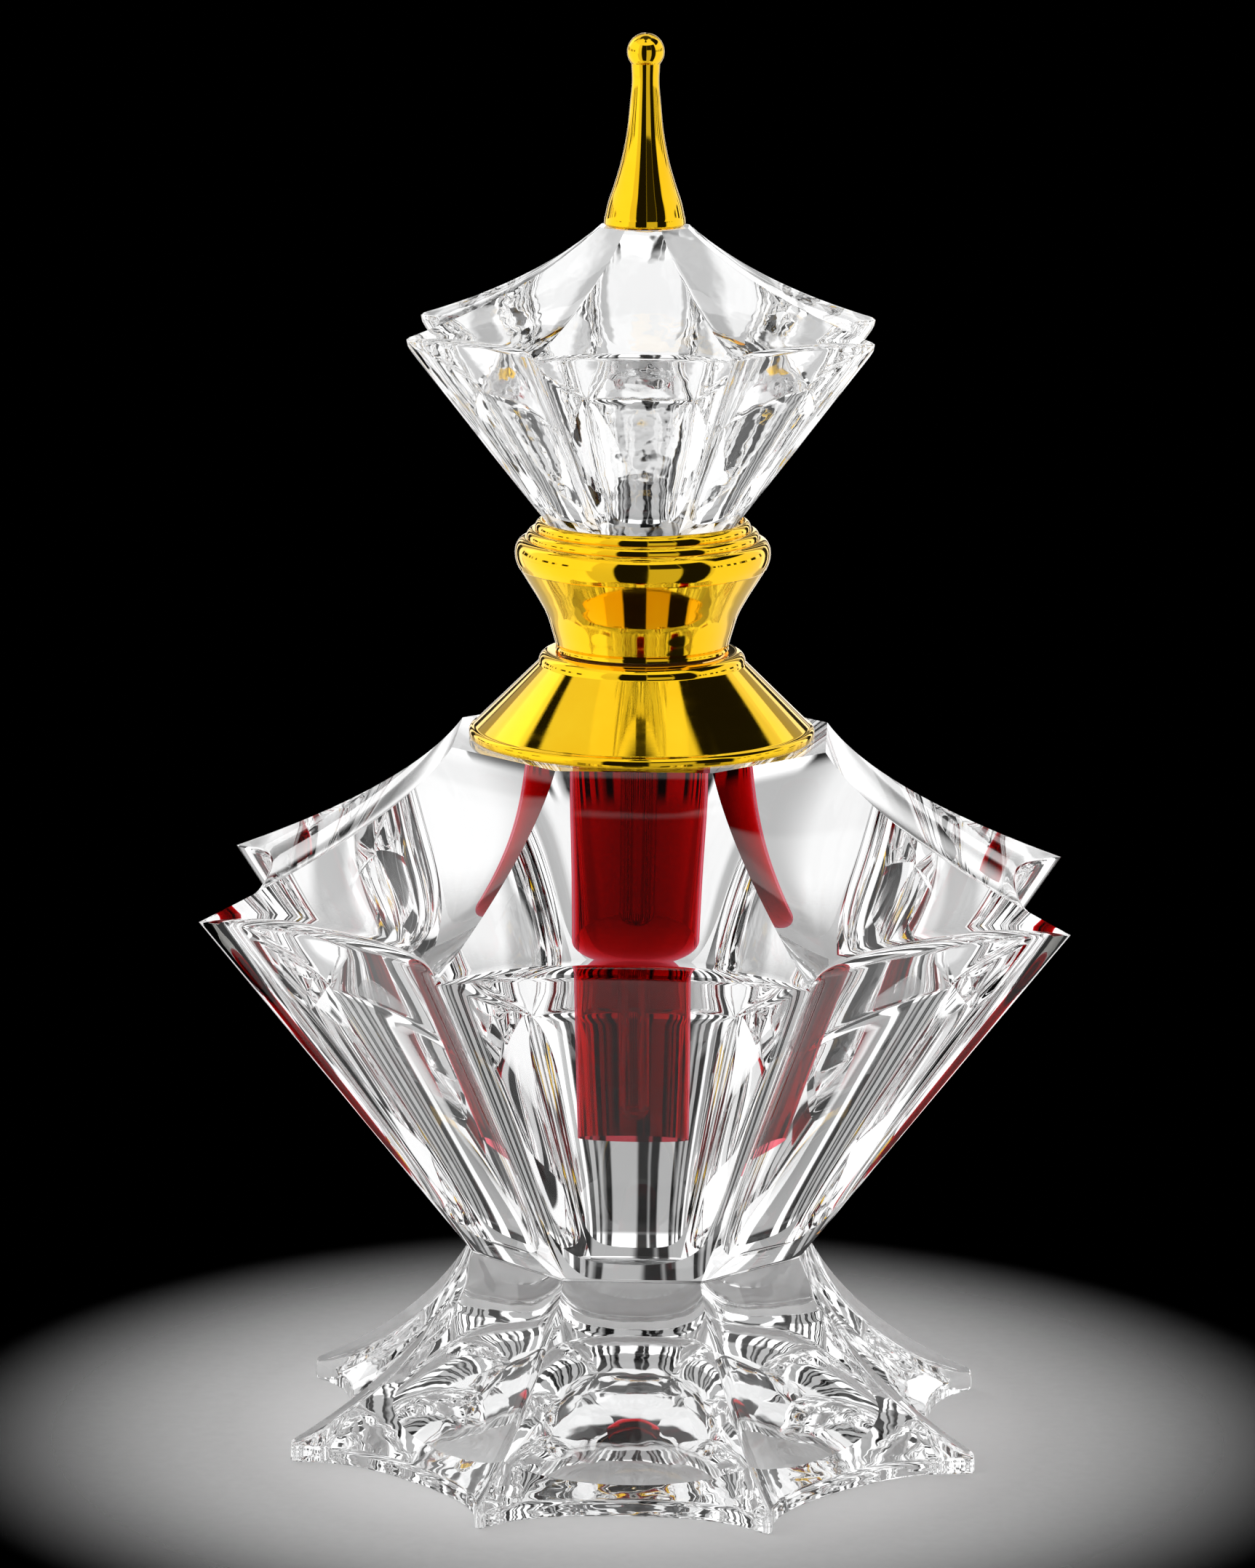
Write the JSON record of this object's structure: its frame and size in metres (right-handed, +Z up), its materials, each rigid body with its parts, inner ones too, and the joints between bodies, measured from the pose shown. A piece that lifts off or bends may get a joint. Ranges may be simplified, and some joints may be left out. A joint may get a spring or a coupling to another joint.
{
  "type": "perfume bottle",
  "caption": "Cut-crystal perfume oil bottle: star-fluted foot and body, gold screw cap with a crystal head, spire and glass dabber.",
  "frame": {"origin": "centre of the foot's flat underside", "axes": "+Z up along the bottle's axis; a flute of the star cut faces -Y"},
  "size_m": [0.072, 0.072, 0.12],
  "materials": {
    "crystal": "clear cut lead-free crystal, polished facets",
    "rod_glass": "clear drawn borosilicate rod",
    "perfume_oil": "deep red perfume oil, clear liquid",
    "gold": "mirror-polished gold plating",
    "insert_plastic": "moulded natural white plastic",
    "seal_foam": "soft closed-cell sealing washer"
  },
  "bodies": {
    "bottle": {"crystal_foot": "crystal", "crystal_body": "crystal", "perfume_oil": "perfume_oil", "neck_insert": "insert_plastic", "neck_collar": "gold"},
    "liner": {"cap_liner": "seal_foam"},
    "applicator": {"dabber_rod": "rod_glass", "rod_plug": "insert_plastic"},
    "cap": {"inner_cap": "insert_plastic", "cap_shell": "gold", "crystal_head": "crystal", "finial": "gold"}
  },
  "joints": [
    {"name": "cap_lift", "type": "slide", "parent": "bottle", "child": "liner", "axis": [0, 0, 1], "range_m": [0, 0.06]},
    {"name": "thread_rise", "type": "slide", "parent": "liner", "child": "applicator", "axis": [0, 0, 1], "range_m": [0, 0.0023]},
    {"name": "cap_turn", "type": "hinge", "parent": "applicator", "child": "cap", "pos_m": [0, 0, 0.0747], "axis": [0, 0, 1], "range_deg": [0, 540]}
  ],
  "couplings": [
    {"joint": "thread_rise", "follows": "cap_turn", "m_per_rad": 0.00023873}
  ]
}
